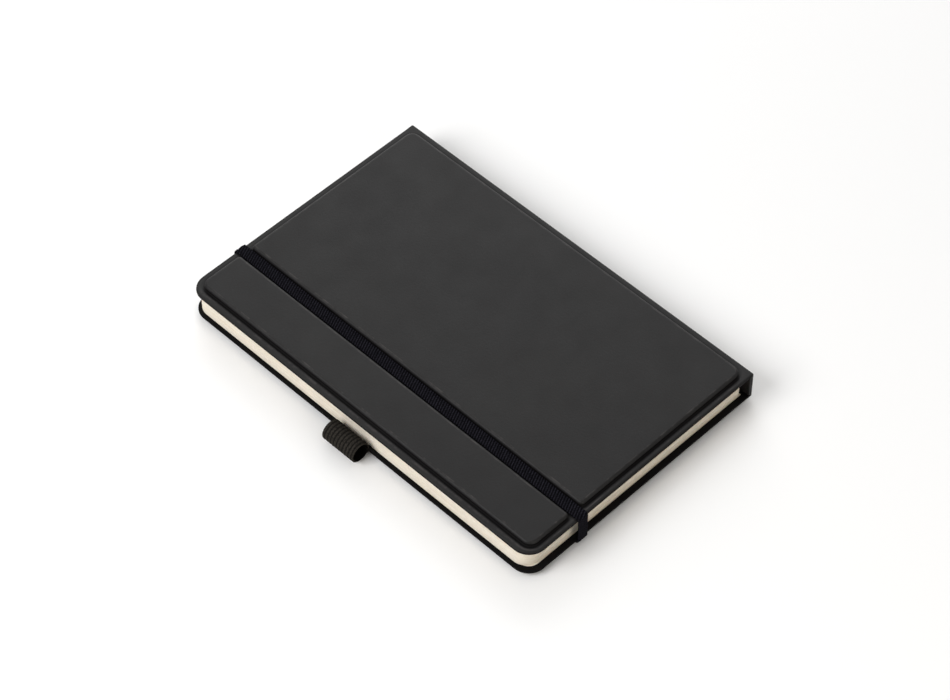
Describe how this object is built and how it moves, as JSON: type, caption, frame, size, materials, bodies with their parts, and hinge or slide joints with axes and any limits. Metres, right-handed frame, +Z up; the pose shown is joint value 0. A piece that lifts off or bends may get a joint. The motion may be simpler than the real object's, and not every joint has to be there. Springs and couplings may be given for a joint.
{
  "type": "notebook",
  "caption": "A5 hardcover notebook with raised soft-touch cover panels, an elastic closing band in a channel and a ribbed elastic pen loop.",
  "frame": {"origin": "centre of the back cover's outer face, which is the face it rests on", "axes": "+X from the spine to the fore edge, +Y from tail to head, +Z up through the closed leaves"},
  "size_m": [0.1483, 0.2122, 0.019],
  "materials": {
    "soft_cover_pu": "soft-touch matte polyurethane, charcoal, fine grain",
    "grey_board": "uncoated grey board",
    "endpaper": "uncoated cream endpaper",
    "leaf_paper": "uncoated cream writing paper, sewn in sections",
    "elastic": "black woven elastic"
  },
  "bodies": {
    "back": {"back_cover_skin": "soft_cover_pu", "back_panel_board": "grey_board", "back_strip_board": "grey_board", "back_pastedown": "endpaper", "back_flyleaf": "endpaper", "section_01": "leaf_paper", "section_02": "leaf_paper", "section_03": "leaf_paper", "section_04": "leaf_paper", "section_05": "leaf_paper", "section_06": "leaf_paper", "band_end_head": "elastic", "band_end_tail": "elastic", "pen_loop_tab": "elastic"},
    "spine": {"spine_skin": "soft_cover_pu", "spine_card": "grey_board", "spine_liner": "endpaper"},
    "front": {"front_cover_skin": "soft_cover_pu", "front_panel_board": "grey_board", "front_strip_board": "grey_board", "front_pastedown": "endpaper"},
    "leaves_07": {"section_07": "leaf_paper"},
    "leaves_08": {"section_08": "leaf_paper"},
    "leaves_09": {"section_09": "leaf_paper"},
    "leaves_10": {"section_10": "leaf_paper"},
    "leaves_11": {"section_11": "leaf_paper"},
    "leaves_12": {"section_12": "leaf_paper", "front_flyleaf": "endpaper"},
    "band": {"band_loop": "elastic"},
    "pen_loop": {"pen_loop": "elastic"}
  },
  "joints": [
    {"name": "spine_fold", "type": "hinge", "parent": "back", "child": "spine", "pos_m": [-0.06925, 0, 0.002], "axis": [0, -1, 0], "range_deg": [0, 90]},
    {"name": "front_cover_fold", "type": "hinge", "parent": "spine", "child": "front", "pos_m": [-0.06925, 0, 0.017], "axis": [0, -1, 0], "range_deg": [0, 90]},
    {"name": "leaves_07_turn", "type": "hinge", "parent": "back", "child": "leaves_07", "pos_m": [-0.06475, 0, 0.00975], "axis": [0, -1, 0], "range_deg": [0, 171]},
    {"name": "leaves_08_turn", "type": "hinge", "parent": "back", "child": "leaves_08", "pos_m": [-0.06475, 0, 0.00975], "axis": [0, -1, 0], "range_deg": [0, 174]},
    {"name": "leaves_09_turn", "type": "hinge", "parent": "back", "child": "leaves_09", "pos_m": [-0.06475, 0, 0.00975], "axis": [0, -1, 0], "range_deg": [0, 176.2]},
    {"name": "leaves_10_turn", "type": "hinge", "parent": "back", "child": "leaves_10", "pos_m": [-0.06475, 0, 0.00975], "axis": [0, -1, 0], "range_deg": [0, 177.8]},
    {"name": "leaves_11_turn", "type": "hinge", "parent": "back", "child": "leaves_11", "pos_m": [-0.06475, 0, 0.00975], "axis": [0, -1, 0], "range_deg": [0, 178.9]},
    {"name": "leaves_12_turn", "type": "hinge", "parent": "back", "child": "leaves_12", "pos_m": [-0.06475, 0, 0.00975], "axis": [0, -1, 0], "range_deg": [0, 179.6]},
    {"name": "band_release", "type": "slide", "parent": "back", "child": "band", "axis": [0, 0, -1], "range_m": [0, 0.0075], "deforming": ["band_loop"]},
    {"name": "pen_loop_flex", "type": "hinge", "parent": "back", "child": "pen_loop", "pos_m": [0.06925, 0, 0.00325], "axis": [0, -1, 0], "range_deg": [-8, 15]}
  ],
  "couplings": [
    {"joint": "front_cover_fold", "follows": "spine_fold", "ratio": 1},
    {"joint": "leaves_07_turn", "follows": "spine_fold", "ratio": 1.9},
    {"joint": "leaves_08_turn", "follows": "spine_fold", "ratio": 1.9333},
    {"joint": "leaves_09_turn", "follows": "spine_fold", "ratio": 1.9578},
    {"joint": "leaves_10_turn", "follows": "spine_fold", "ratio": 1.9756},
    {"joint": "leaves_11_turn", "follows": "spine_fold", "ratio": 1.9878},
    {"joint": "leaves_12_turn", "follows": "spine_fold", "ratio": 1.9956},
    {"joint": "band_release", "follows": "spine_fold", "m_per_rad": 0.0047746}
  ]
}
